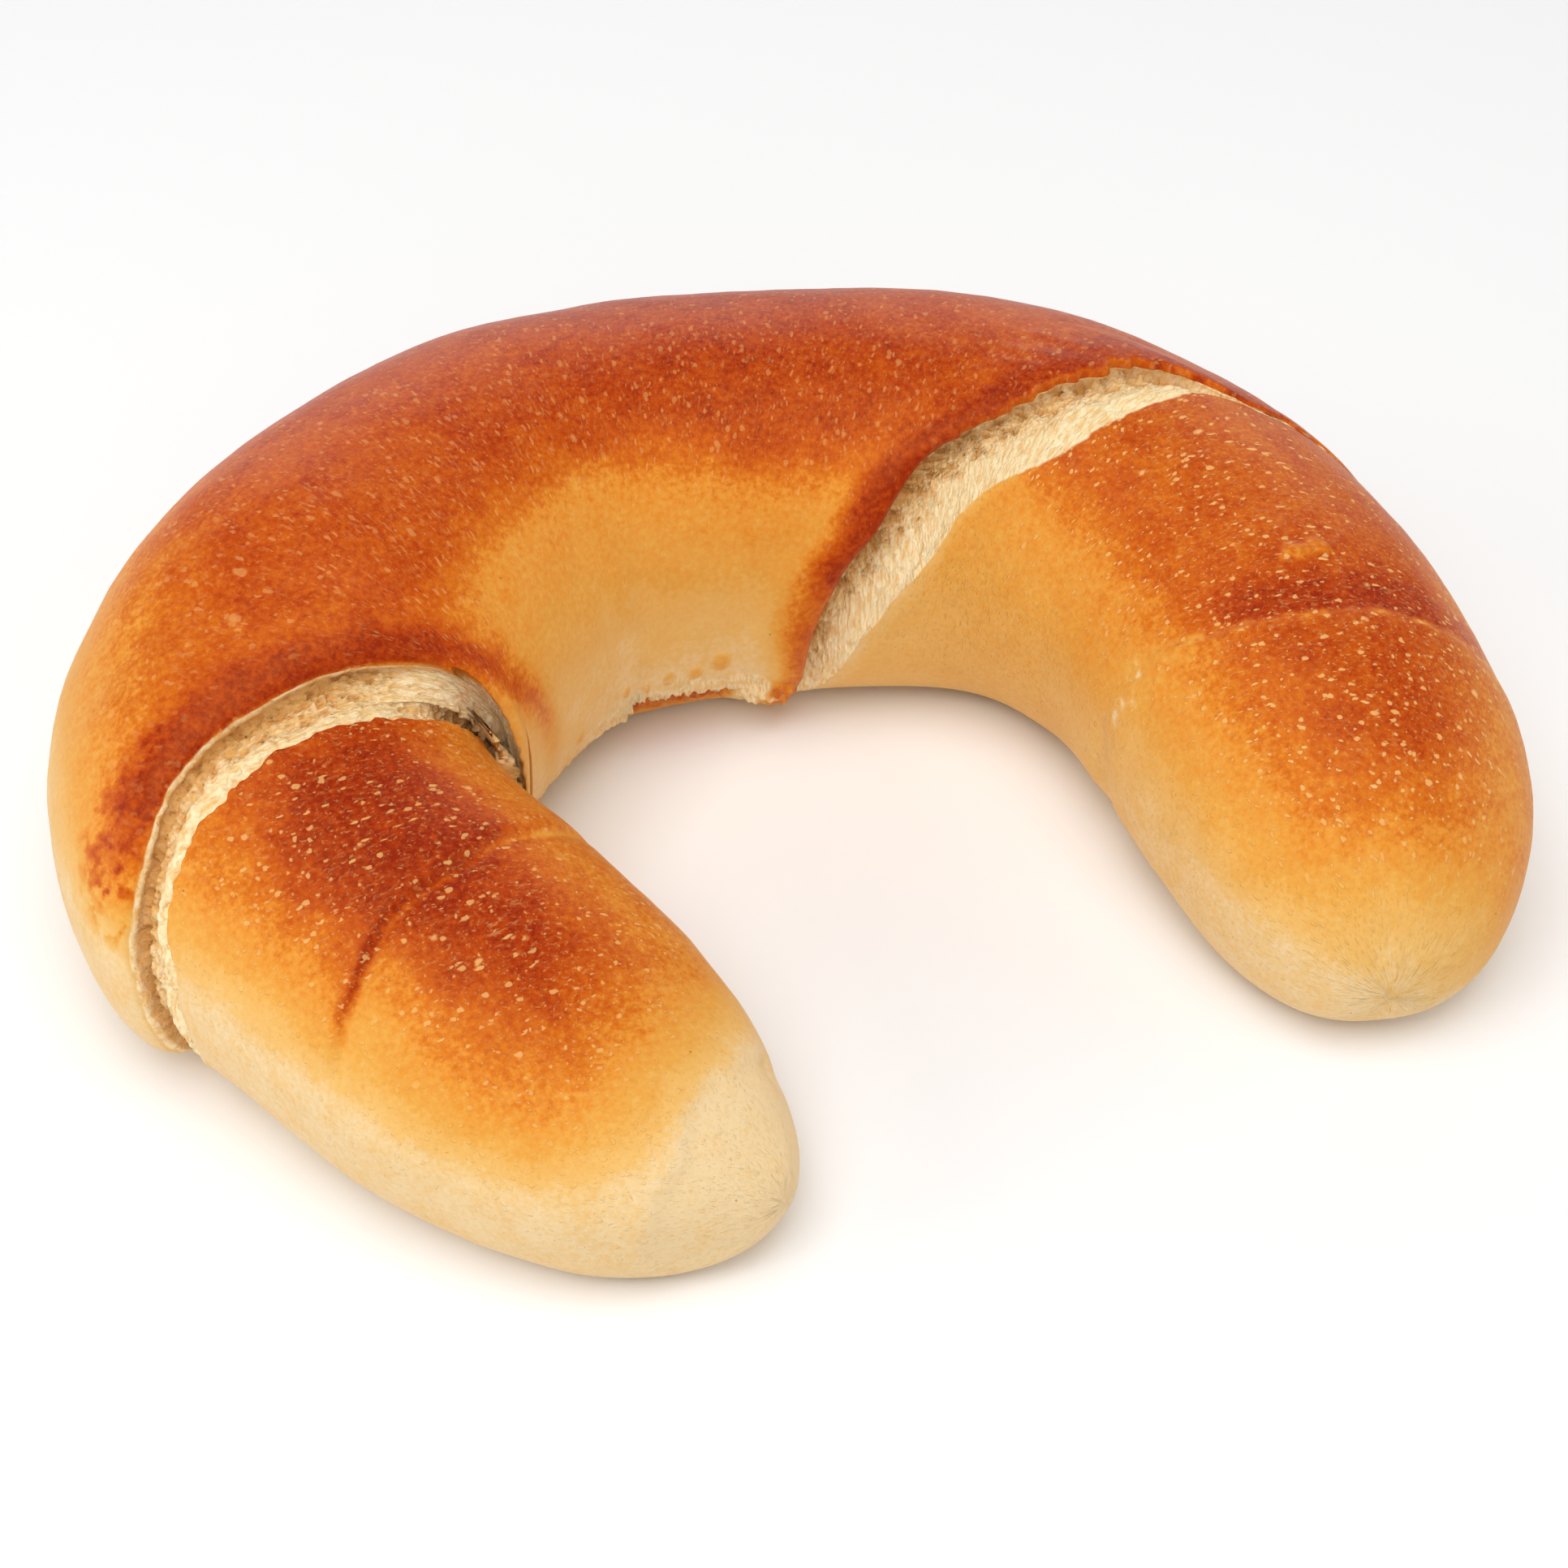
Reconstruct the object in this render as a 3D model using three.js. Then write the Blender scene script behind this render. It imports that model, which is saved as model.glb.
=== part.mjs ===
// A crescent roll: one piece of baked yeast dough, rolled up from a flat triangle and bent into a horseshoe.
// Millimetres, +Z up. The roll lies flat on z = 0 with its back towards +Y and its two horns towards -Y.
// The origin is under the middle of the roll's bounding box.
import * as THREE from "three";

// The roll's spine in plan, from the left horn's tip round the back to the right horn's tip.
const STATIONS = [
  { x: -21, y: -58, width: 21.5, height: 17 },
  { x: -36, y: -38, width: 39.5, height: 24.5 },
  { x: -53, y: -2.5, width: 48, height: 36 },
  { x: -44.5, y: 19.5, width: 51.5, height: 45 },
  { x: -12, y: 37.5, width: 46.5, height: 45 },
  { x: 34, y: 27, width: 44.5, height: 43 },
  { x: 53, y: 3.5, width: 44.5, height: 39.5 },
  { x: 54.5, y: -30, width: 42.5, height: 34 },
  { x: 47.5, y: -58, width: 29, height: 22.5 },
];

// The section: a rounded dome over a fuller belly, pressed flat where it lies on the baking tray.
const WAIST = 0.45; // height of the widest level, as a share of the section's height
const DOME_POWER = 2.15; // superellipse powers above and below the waist
const BELLY_POWER = 2.6;
const PRESSED = 2; // how far the belly would reach below the tray if it weren't pressed flat

// The horns' rounded ends.
const LEFT_CAP = 17;
const RIGHT_CAP = 19;
const CAP_POWER = 2.3;
const CAP_LEVEL = 0.42; // height that an end closes towards, as a share of the section's height

// Where the crust of the outer wrap burst in the oven, the wrap's lip stands over a groove of open crumb.
// A tear's place along the spine changes with the angle round the section: 0 is the crescent's inner side,
// a quarter turn is the top. Its profile lists [distance from the lip towards the horn, height] across it.
const LEFT_TEAR = {
  towards: -1,
  lip: (angle) => 67.8 + 7.6 * Math.cos(angle),
  openness: (angle) => 1,
  profile: [
    [-12, 0],
    [-6, 1],
    [-2, 0.7],
    [0, -0.8],
    [0.6, -3],
    [1.6, -4.2],
    [3, -2.8],
    [4.4, -1.6],
    [8, -1.3],
    [15, -0.8],
    [26, 0],
  ],
};
const RIGHT_TEAR = {
  towards: 1,
  lip: (angle) => 181 - 27.5 * Math.cos(angle + 0.5),
  openness: (angle) => 0.25 + 0.75 * Math.max(0, Math.cos(angle - 0.65)),
  profile: [
    [-14, 0],
    [-6, 0.8],
    [-2, 0.9],
    [0, 0],
    [0.8, -2.6],
    [3, -3.4],
    [7, -2.4],
    [12, -1.3],
    [17, -0.6],
    [24, 0],
  ],
};
const TEAR_FLOOR = -0.5; // sine of the angle below which a tear has died out on the underside
const TEAR_FULL = -0.1; // and above which it is at its full depth

// Two folds where the next turns of the rolled dough show as a shallow step.
const FOLDS = [
  { at: (angle) => 41.5, depth: 0.7, reach: 2.4 },
  { at: (angle) => 235 - 7 * Math.cos(angle), depth: 1, reach: 2.8 },
];

// Facets: how many round the section, and how many rings over each stretch of the roll.
const AROUND = 40;
const RINGS = { leftHorn: 22, centre: 18, rightHorn: 20 };

const spine = new THREE.CatmullRomCurve3(
  STATIONS.map(({ x, y }) => new THREE.Vector3(x, y, 0)),
  false,
  "catmullrom",
  0.5,
);
spine.arcLengthDivisions = 1200;
const LENGTH = spine.getLength();
const sizes = new THREE.CatmullRomCurve3(
  STATIONS.map(({ width, height }) => new THREE.Vector3(width, height, 0)),
  false,
  "catmullrom",
  0.5,
);

const { smoothstep, lerp } = THREE.MathUtils;

function roundedPower(value, power) {
  return Math.sign(value) * Math.abs(value) ** (2 / power);
}

// How far an end has opened from its tip, from 0 to 1.
function capShare(distanceFromTip, capLength) {
  const left = 1 - Math.min(1, distanceFromTip / capLength);
  return (1 - left ** CAP_POWER) ** (1 / CAP_POWER);
}

// A point of the undamaged crust: along is the distance on the spine, angle goes round the section.
function crustPoint(along, angle) {
  const share = THREE.MathUtils.clamp(along / LENGTH, 0, 1);
  const t = spine.getUtoTmapping(share);
  const centre = spine.getPoint(t);
  const tangent = spine.getTangent(t);
  const inward = new THREE.Vector3(tangent.y, -tangent.x, 0).normalize();
  const { x: width, y: height } = sizes.getPoint(t);
  const cap = capShare(along, LEFT_CAP) * capShare(LENGTH - along, RIGHT_CAP);

  const waist = WAIST * height;
  const above = Math.sin(angle) >= 0;
  const power = above ? DOME_POWER : BELLY_POWER;
  const reach = above ? height - waist : waist + PRESSED;
  const side = roundedPower(Math.cos(angle), power) * 0.5 * width * cap;
  const level = waist + roundedPower(Math.sin(angle), power) * reach;
  const closing = CAP_LEVEL * height;

  const axis = centre.clone().setZ(waist);
  const point = centre.addScaledVector(inward, side).setZ(closing + (level - closing) * cap);
  return { point, axis };
}

// Height on a tear's or fold's profile at a distance across it.
function profileHeight(profile, distance) {
  const next = profile.findIndex(([at]) => at > distance);
  if (next <= 0) return 0;
  const [fromAt, fromHeight] = profile[next - 1];
  const [toAt, toHeight] = profile[next];
  return lerp(fromHeight, toHeight, (distance - fromAt) / (toAt - fromAt));
}

function tearHeight(tear, along, angle) {
  const fade = smoothstep(Math.sin(angle), TEAR_FLOOR, TEAR_FULL);
  const distance = tear.towards * (along - tear.lip(angle));
  return fade * tear.openness(angle) * profileHeight(tear.profile, distance);
}

function foldHeight(fold, along, angle) {
  const fade = smoothstep(Math.sin(angle), TEAR_FLOOR, TEAR_FULL);
  const distance = (along - fold.at(angle)) / fold.reach;
  return -fold.depth * fade * Math.exp(-distance * distance);
}

function loafPoint(along, angle) {
  const { point, axis } = crustPoint(along, angle);
  const height =
    tearHeight(LEFT_TEAR, along, angle) +
    tearHeight(RIGHT_TEAR, along, angle) +
    FOLDS.reduce((sum, fold) => sum + foldHeight(fold, along, angle), 0);
  const outward = point.clone().sub(axis);
  point.addScaledVector(outward.normalize(), height);
  point.z = Math.max(0, point.z);
  return point;
}

// The rings' places on the spine at one angle: evenly spaced on each stretch, and one at each profile point.
function ringPlaces(angle) {
  const across = (tear) => {
    const lip = tear.lip(angle);
    const places = tear.profile.map(([distance]) => lip + tear.towards * distance);
    return tear.towards < 0 ? places.reverse() : places;
  };
  const left = across(LEFT_TEAR);
  const right = across(RIGHT_TEAR);
  const stretch = (from, to, count, ease) =>
    Array.from({ length: count - 1 }, (_, i) => lerp(from, to, ease((i + 1) / count)));
  const fromTip = (share) => 1 - Math.cos((share * Math.PI) / 2);
  const toTip = (share) => Math.sin((share * Math.PI) / 2);
  const even = (share) => share;
  return [
    0,
    ...stretch(0, left[0], RINGS.leftHorn, fromTip),
    ...left,
    ...stretch(left.at(-1), right[0], RINGS.centre, even),
    ...right,
    ...stretch(right.at(-1), LENGTH, RINGS.rightHorn, toTip),
    LENGTH,
  ];
}

// A sphere's grid of facets, from pole to pole, laid over the roll from tip to tip.
function loafGeometry() {
  const rings = ringPlaces(0).length;
  const geometry = new THREE.SphereGeometry(1, AROUND, rings - 1);
  const grid = geometry.getAttribute("uv");
  const position = geometry.getAttribute("position");
  for (let i = 0; i < position.count; i++) {
    const ring = Math.round((1 - grid.getY(i)) * (rings - 1));
    const atTip = ring === 0 || ring === rings - 1;
    const angle = atTip ? 0 : 2 * Math.PI * grid.getX(i);
    const { x, y, z } = loafPoint(ringPlaces(angle)[ring], angle);
    position.setXYZ(i, x, y, z);
  }
  geometry.computeBoundingBox();
  const middle = geometry.boundingBox.getCenter(new THREE.Vector3());
  geometry.translate(-middle.x, -middle.y, 0);
  geometry.computeVertexNormals();
  return geometry;
}

const crust = new THREE.MeshStandardMaterial({ color: 0xc9742c, roughness: 0.5, metalness: 0 });

const roll = new THREE.Mesh(loafGeometry(), crust);
roll.name = "crescent_roll";

const part = new THREE.Group();
part.add(roll);

export default part;
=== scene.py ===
"""A crescent roll, baked from one piece of rolled-up yeast dough.

Its skin is one closed mesh: a grid of columns along the spine and rows round the section. The columns
follow the two oven tears and the two folds, so that a torn lip, the groove under it and the open crumb
beside it are real shapes. They are worked out in millimetres and fitted to the CAD box at the end.

A place on the skin is a distance along the spine from the left horn's tip and an angle round the section,
in degrees: 0 faces the crescent's inside, 90 is the top and -90 the base.
"""

import math

import bpy
import numpy as np
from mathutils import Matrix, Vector


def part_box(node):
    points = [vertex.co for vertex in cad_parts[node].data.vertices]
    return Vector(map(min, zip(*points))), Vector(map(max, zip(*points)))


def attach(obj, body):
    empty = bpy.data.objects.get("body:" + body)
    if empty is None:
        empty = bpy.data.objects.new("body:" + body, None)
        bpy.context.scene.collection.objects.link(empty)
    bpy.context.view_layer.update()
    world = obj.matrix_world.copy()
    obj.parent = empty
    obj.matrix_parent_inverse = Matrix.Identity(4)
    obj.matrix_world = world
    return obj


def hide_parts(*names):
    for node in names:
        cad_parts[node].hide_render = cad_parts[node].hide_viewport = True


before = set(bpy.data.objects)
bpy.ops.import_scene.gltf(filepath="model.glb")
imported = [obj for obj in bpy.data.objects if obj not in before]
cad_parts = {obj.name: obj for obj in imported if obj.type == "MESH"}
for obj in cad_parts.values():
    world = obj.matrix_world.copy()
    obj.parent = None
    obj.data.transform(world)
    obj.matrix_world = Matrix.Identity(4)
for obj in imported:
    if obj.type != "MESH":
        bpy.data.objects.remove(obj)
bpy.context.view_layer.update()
NODE = "crescent_roll"
BOX_LOW, BOX_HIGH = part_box(NODE)

# ---------------------------------------- driving dimensions, in millimetres

# The spine from the left horn's tip round the back to the right horn's tip: x, y, width, height.
STATIONS = np.array([
    (-21, -58, 21.5, 17),
    (-36, -38, 39.5, 24.5),
    (-53, -2.5, 48, 36),
    (-44.5, 19.5, 51.5, 45),
    (-12, 37.5, 46.5, 45),
    (34, 27, 44.5, 43),
    (53, 3.5, 44.5, 39.5),
    (54.5, -30, 42.5, 34),
    (47.5, -58, 29, 22.5),
])
WAIST = 0.45  # height of the widest level, as a share of the section's height
DOME_POWER = 2.15  # superellipse powers above and below the waist
BELLY_POWER = 2.6
PRESSED = 2.0  # how far the belly would reach below the tray if it weren't pressed flat
MM_PER_DEGREE = 0.4  # distance round the skin for each degree of angle, roughly
LEFT_CAP = 17.0  # lengths over which the two tips round off
RIGHT_CAP = 19.0
CAP_POWER = 2.3
CAP_LEVEL = 0.42  # height of a tip's very end, as a share of the section's height

# The mesh: rows round the section, finer between these two angles than on the base, and columns along it.
SEEN_ANGLES = (-52, 232)
ROWS_SEEN = 400
ROWS_UNDER = 60
LIP_COLUMNS = 60
LEFT_CRUMB_COLUMNS = 56
RIGHT_CRUMB_COLUMNS = 84
LEFT_FOLD_COLUMNS = 26
RIGHT_FOLD_COLUMNS = 28
PLAIN_COLUMNS = [52, 14, 120, 46, 50]  # on the stretches between the tips, the folds and the tears
BEYOND_RIM = 6.0  # how far a tear's columns go on over the horn's crust

# ---------------------------------------- small maths

RANDOM = np.random.default_rng(20)
SHUFFLED = RANDOM.permutation(256)
DIRECTIONS = RANDOM.normal(size=(256, 3))
DIRECTIONS /= np.linalg.norm(DIRECTIONS, axis=1, keepdims=True)
SPOTS = RANDOM.uniform(0.0, 1.0, (256, 3))


def clamp(value, low=0.0, high=1.0):
    """The value, kept between low and high."""
    return np.clip(value, low, high)


def smooth(value, low, high):
    """0 below low, 1 above high, and a smooth rise between them. A high under low gives a fall."""
    share = clamp((value - low) / (high - low))
    return share * share * (3 - 2 * share)


def between(value, start, full, fall, end):
    """0 at start, 1 from full to fall, and 0 again at end."""
    return smooth(value, start, full) * smooth(value, end, fall)


def bell(value, middle, half_width):
    """1 at the middle, fading to almost nothing two half widths away."""
    return np.exp(-(((value - middle) / half_width) ** 2))


def mix(first, second, share):
    """The first at share 0 and the second at share 1."""
    return first + (second - first) * share


def along_curve(value, knots):
    """A smooth curve through listed (value, height) knots, level beyond its ends."""
    at, height = np.array(knots, float).T
    position = np.interp(value, at, np.arange(len(at)))
    return catmull_rom(height[:, None], position)[..., 0]


def catmull_rom(points, position):
    """Points on a Catmull-Rom curve, where position counts points from 0 to len(points) - 1."""
    ends = np.vstack([2 * points[0] - points[1], points, 2 * points[-1] - points[-2]])
    step = np.minimum(np.floor(position).astype(int), len(points) - 2)
    share = (position - step)[..., None]
    before, first, second, after = (ends[step + i] for i in range(4))
    slope_in = (second - before) / 2
    slope_out = (after - first) / 2
    rise = second - first
    return (
        first
        + share * slope_in
        + share**2 * (3 * rise - 2 * slope_in - slope_out)
        + share**3 * (slope_in + slope_out - 2 * rise)
    )


def cell_hash(cell):
    """One number from 0 to 255 for each whole-numbered cell of a 3-D grid."""
    x, y, z = (cell[..., i] & 255 for i in range(3))
    return SHUFFLED[(SHUFFLED[(SHUFFLED[x] + y) & 255] + z) & 255]


def noise(points, size):
    """Gradient noise from about -1 to 1, with lumps of that size (a number, or one for each axis)."""
    scaled = points / np.asarray(size, float)
    cell = np.floor(scaled).astype(int)
    inside = scaled - cell
    fade = inside**3 * (inside * (inside * 6 - 15) + 10)
    total = 0.0
    for corner in np.ndindex(2, 2, 2):
        towards = inside - corner
        slope = DIRECTIONS[cell_hash(cell + corner)]
        weight = np.prod(np.where(corner, fade, 1 - fade), axis=-1)
        total = total + weight * (slope * towards).sum(-1)
    return 1.6 * total


def layered_noise(points, size, layers=3):
    """Noise with finer and fainter layers over it, each of half the size of the last."""
    size = np.asarray(size, float)
    return sum(noise(points + 37.0 * i, size / 2**i) / 2**i for i in range(layers))


def cells(points, size):
    """Distance to the nearest and second nearest of randomly scattered spots, in spot spacings."""
    scaled = points / np.asarray(size, float)
    cell = np.floor(scaled).astype(int)
    nearest = np.full(scaled.shape[:-1], 9.0)
    second = nearest.copy()
    for offset in np.ndindex(3, 3, 3):
        neighbour = cell + np.array(offset) - 1
        spot = neighbour + SPOTS[cell_hash(neighbour)]
        distance = np.linalg.norm(scaled - spot, axis=-1)
        second = np.minimum(second, np.maximum(nearest, distance))
        nearest = np.minimum(nearest, distance)
    return nearest, second


# ---------------------------------------- the untorn roll

SPINE_STEPS = np.linspace(0, len(STATIONS) - 1, 4001)
SPINE = catmull_rom(STATIONS, SPINE_STEPS)
SPINE_ALONG = np.append(0, np.cumsum(np.hypot(*np.diff(SPINE[:, :2], axis=0).T)))
LENGTH = SPINE_ALONG[-1]
HEADING = np.gradient(SPINE[:, :2], SPINE_ALONG, axis=0)
HEADING /= np.linalg.norm(HEADING, axis=1, keepdims=True)


def on_spine(along, values):
    """One of the spine's values at that distance along it."""
    return np.interp(along, SPINE_ALONG, values)


def cap_share(distance, cap_length):
    """How full the section is at that distance from a tip, from 0 at the tip to 1 past its cap."""
    left = 1 - clamp(distance / cap_length)
    return (1 - left**CAP_POWER) ** (1 / CAP_POWER)


def rounded_power(value, power):
    """A sine or cosine reshaped for a superellipse of that power."""
    return np.sign(value) * np.abs(value) ** (2 / power)


def skin(along, angle):
    """Points of the smooth, untorn skin."""
    x, y, width, height = (on_spine(along, SPINE[:, i]) for i in range(4))
    inward_x = on_spine(along, HEADING[:, 1])
    inward_y = -on_spine(along, HEADING[:, 0])
    cap = cap_share(along, LEFT_CAP) * cap_share(LENGTH - along, RIGHT_CAP)
    turn = np.radians(angle)
    above = np.sin(turn) >= 0
    power = np.where(above, DOME_POWER, BELLY_POWER)
    waist = WAIST * height
    reach = np.where(above, height - waist, waist + PRESSED)
    side = rounded_power(np.cos(turn), power) * 0.5 * width * cap
    closing = CAP_LEVEL * height
    level = waist + rounded_power(np.sin(turn), power) * reach
    z = np.maximum(closing + (level - closing) * cap, 0)
    return np.stack([x + inward_x * side, y + inward_y * side, z], axis=-1)


def skin_normals(along, angle):
    """Outward unit normals of the untorn skin."""
    step = 0.4
    turn = 1.0
    inner = clamp(along, 3 * step, LENGTH - 3 * step)
    along_edge = skin(inner + step, angle) - skin(inner - step, angle)
    round_edge = skin(inner, angle + turn) - skin(inner, angle - turn)
    normal = np.cross(along_edge, round_edge)
    normal /= np.maximum(np.linalg.norm(normal, axis=-1, keepdims=True), 1e-9)
    middle = np.stack([on_spine(along, SPINE[:, 0]), on_spine(along, SPINE[:, 1]),
                       0.4 * on_spine(along, SPINE[:, 3])], axis=-1)
    facing = ((skin(inner, angle) - middle) * normal).sum(-1, keepdims=True)
    return normal * np.where(facing < 0, -1.0, 1.0)


# ---------------------------------------- tears and folds

def off_tray(angle):
    """1 on the part of the skin that can be seen, fading to 0 on the base."""
    return smooth(np.sin(np.radians(angle)), -0.85, -0.45)


def wobble(angle, size, seed):
    """Unevenness along a lip, as a function of the angle round the section."""
    places = np.stack([angle * MM_PER_DEGREE, np.full_like(angle, seed), np.full_like(angle, 0.5)], axis=-1)
    return noise(places, size)


def skin_places(along, angle, seed):
    """Places on the unrolled skin for noise: the distance along, the distance round and a seed."""
    return np.stack([along, angle * MM_PER_DEGREE, np.full_like(along, seed)], axis=-1)


def left_lip(angle):
    """Where the centre wrap ends over the left horn: farthest from that tip on the crescent's inside."""
    place = along_curve(angle, [
        (-90, 73), (-20, 75), (8, 76), (25, 74.8), (43, 72.2), (60, 70.1), (75, 69.1), (97, 67.1), (121, 65),
        (143, 62.5), (169, 60.8), (200, 60), (232, 62), (270, 73),
    ])
    return place + 0.25 * wobble(angle, 7, 3.5) + 0.12 * wobble(angle, 1.5, 8.5)


def left_rim(angle):
    """Where the left horn's own crust begins, beyond the open crumb."""
    place = along_curve(angle, [
        (-90, 61), (-20, 61), (54, 61.1), (80, 62.5), (99, 62.5), (119, 61.5), (140, 60), (154, 58.6),
        (169, 56.7), (200, 55.5), (232, 57), (270, 61),
    ])
    return place + 0.35 * wobble(angle, 4, 4.5) + 0.4 * wobble(angle, 1.2, 9.5)


def right_lip(angle):
    """Where the centre wrap ends over the right horn: it winds from the inner foot up and over the top."""
    place = along_curve(angle, [
        (-90, 152), (-40, 154), (-15, 155.5), (-5, 156.3), (3, 158.5), (12, 161), (22, 165), (34, 168.5),
        (44, 172), (53, 178), (61, 183.2), (73, 188), (87, 192), (100, 194.7), (110, 198.5), (118, 205),
        (150, 214), (200, 214), (270, 152),
    ])
    teeth = 0.9 * wobble(angle, 2.2, 6.5) + 0.5 * wobble(angle, 0.9, 7.5)
    return place + 0.3 * wobble(angle, 7, 5.5) + teeth * flaky(angle)


def flaky(angle):
    """1 where the right lip is a thin, broken crust, and 0 where it's a smooth roll."""
    return between(angle, 42, 52, 125, 150)


def right_rim(angle):
    """Where the right horn's own crust begins, beyond the open crumb."""
    place = along_curve(angle, [
        (-90, 152.3), (-50, 155), (-33, 158), (-8, 163.5), (5, 169.3), (16, 174.8), (29, 179.5), (35, 183.3),
        (47, 190.5), (55, 194.5), (66, 197.3), (84, 199.8), (105, 202), (112, 204), (118, 206.6), (135, 211),
        (150, 214.3), (200, 214.3), (270, 152.3),
    ])
    ragged = 0.35 * wobble(angle, 2.4, 11.5) + 0.4 * wobble(angle, 1.0, 17.5)
    return place + 0.3 * wobble(angle, 5, 7.5) + ragged * between(angle, 0, 15, 100, 112)


BUBBLES = [  # round orange blisters at the inner foot: place along and angle, and radius
    ((105.3, -17), 1.1), ((120.7, -14), 1.2), ((129.3, -17), 1.2), ((134.5, -15), 1.3), ((139.1, -15), 1.3),
    ((143.1, -12), 1.6), ((147.7, -30), 1.5), ((151.7, -26), 1.5),
]

# Each tear runs from the centre wrap to the horn. Points of a lip are distances from its edge, heights,
# and 1 where crumb is bare. Points of the crumb have shares of the opening's width in place of distances.
LEFT_LIP_PROFILE = [
    (-10, 0.2, 0), (-7, 0.7, 0), (-4, 1.1, 0), (-1.8, 1.0, 0), (-0.6, 0.6, 0), (0, 0.15, 0.1),
    (0.2, -0.3, 0.6), (0.3, -0.8, 1), (0.15, -1.3, 1), (0, -2.0, 1), (0.1, -2.7, 1), (0.6, -3.1, 1),
]
LEFT_CRUMB_PROFILE = [
    (0.12, -3.1, 1), (0.3, -2.5, 1), (0.5, -1.4, 1), (0.66, -0.6, 1), (0.8, -0.15, 1), (0.96, 0, 0.9),
    (1.02, 0, 0.1), (1.15, 0, 0), (1.3, 0, 0),
]
# How deep the left hollow is at each angle, as a share of its profile's depth under the crust's edge.
LEFT_DEPTH = [
    (-90, 1), (0, 0.8), (35, 0.7), (60, 0.5), (80, 0.45), (105, 0.5), (130, 0.6), (190, 0.9), (270, 1),
]
CRUST_EDGE = -1.2  # height of the crust's lower edge on the left lip
# On the crescent's inside the left lip is a thick smooth roll, and its hollow a narrow gap beside the horn.
# These are heights at shares of the opening's width there.
INNER_HEIGHTS = [
    (0, 0.15), (0.12, 0.05), (0.35, -0.15), (0.55, -0.4), (0.7, -0.9), (0.82, -1.7), (0.92, -1.4),
    (1, -0.2), (1.06, 0),
]
INNER_START = 0.15  # share of the width where the lip's columns end and the crumb's begin
LEFT_SINK = -1.3  # height of the left horn's skin beside the tear, from the centre wrap's
LEFT_OPENING = 8.0  # usual widths of the two openings, for spacing their columns
RIGHT_OPENING = 14.0
RIGHT_LIP_PROFILE = [
    (-10, 0.1, 0), (-6, 0.5, 0), (-3, 0.8, 0), (-1, 0.6, 0), (-0.1, 0.1, 0), (0.1, -0.35, 0.1),
    (-0.1, -0.8, 1), (-0.7, -1.4, 1), (-1.1, -2.3, 1), (-0.7, -3.1, 1), (0.4, -3.4, 1),
]
RIGHT_CRUMB_PROFILE = [
    (0.12, -3.0, 1), (0.28, -2.3, 1), (0.5, -1.4, 1), (0.7, -0.6, 1), (0.84, -0.2, 1), (0.94, -0.05, 0.75),
    (1.03, 0, 0.25), (1.12, 0, 0), (1.3, 0, 0),
]


def fine_profile(profile, count, width=1.0):
    """The profile as a smooth curve of that many points, evenly spaced in an opening of that width."""
    points = np.array(profile, float)
    lengths = np.hypot(np.diff(points[:, 0]) * width, np.diff(points[:, 1]))
    travelled = np.append(0, np.cumsum(lengths))
    wanted = np.linspace(0, travelled[-1], count)
    fine = catmull_rom(points, np.interp(wanted, travelled, np.arange(len(points))))
    fine[:, 2] = clamp(fine[:, 2])
    return fine


def across(foot, width, share):
    """Distance from the lip: at share 0 the foot of its hollow, at 1 the horn's crust, and a bit beyond."""
    return mix(foot, width, share) + BEYOND_RIM * np.maximum(share - 1, 0)


def left_tear(angle):
    """Columns across the left tear, towards the left horn: place along, height and bareness."""
    lip = fine_profile(LEFT_LIP_PROFILE, LIP_COLUMNS)
    crumb = fine_profile(LEFT_CRUMB_PROFILE, LEFT_CRUMB_COLUMNS, LEFT_OPENING)
    width = left_lip(angle) - left_rim(angle)
    lip_distance = lip[:, 0] * np.ones_like(angle)
    distance = np.hstack([lip_distance, across(lip_distance[:, -1:], width, crumb[:, 0])])
    depth = along_curve(angle, LEFT_DEPTH) * (1 + 0.2 * wobble(angle, 6, 1.5))
    raised = between(angle, 92, 112, 180, 200)
    crumb_height = crumb[:, 1] * (1 - 0.5 * raised) + 0.3 * raised * bell(crumb[:, 0], 0.7, 0.2)
    height = np.hstack([lip[:, 1] * np.ones_like(angle), crumb_height])
    height = np.where(height < CRUST_EDGE, CRUST_EDGE + (height - CRUST_EDGE) * depth, height)

    share, past_edge = inner_shares(lip, crumb)
    inside = smooth(angle, 74, 40) * past_edge
    inner_distance = np.minimum(share, 1) * width + BEYOND_RIM * np.maximum(share - 1, 0)
    distance = mix(distance, inner_distance, inside)
    height = mix(height, along_curve(share, INNER_HEIGHTS), inside)
    bare = np.append(lip[:, 2], crumb[:, 2]) * np.ones_like(angle)
    return left_lip(angle) - distance, height * off_tray(angle), bare


def inner_shares(lip, crumb):
    """The left tear's columns on the crescent's inside: shares of the width, and 1 past the lip's edge."""
    edge = int((lip[:, 0] < -0.1).sum())
    lip_share = INNER_START * clamp((np.arange(len(lip)) - edge) / (len(lip) - 1 - edge))
    crumb_share = INNER_START + (crumb[:, 0] - crumb[0, 0]) * (1 - INNER_START) / (1 - crumb[0, 0])
    share = np.append(lip_share, crumb_share)
    return share, np.arange(len(share)) >= edge


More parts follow.
